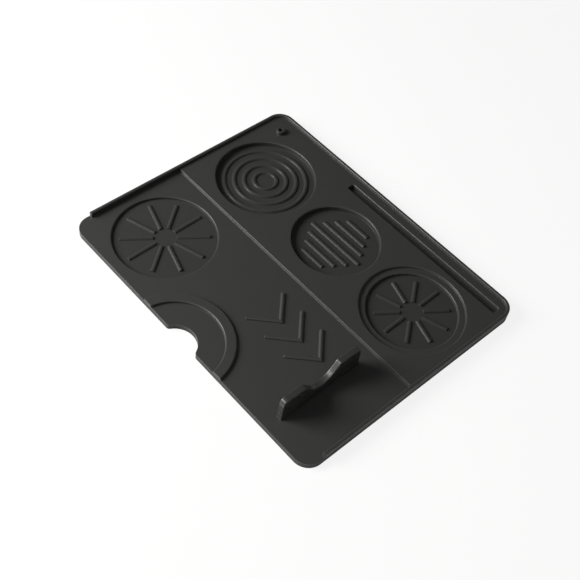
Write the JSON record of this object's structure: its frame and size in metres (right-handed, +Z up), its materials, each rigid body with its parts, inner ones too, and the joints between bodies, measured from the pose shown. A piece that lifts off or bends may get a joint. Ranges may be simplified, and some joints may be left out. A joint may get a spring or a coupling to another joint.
{
  "type": "tamper mat",
  "caption": "Moulded silicone espresso tamping mat with a raised rim, ribbed round seats, a portafilter notch in its front edge, an upright handle saddle and a tool slot.",
  "frame": {"origin": "middle of the underside, on the surface that the mat lies on", "axes": "+X along the long side, from the hanging hole's end towards the saddle's end; the edge with the portafilter notch is at -Y; +Z up out of the mat"},
  "size_m": [0.25, 0.2004, 0.0246],
  "materials": {
    "silicone": "matte"
  },
  "bodies": {
    "root": {"mat": "silicone"}
  },
  "joints": []
}
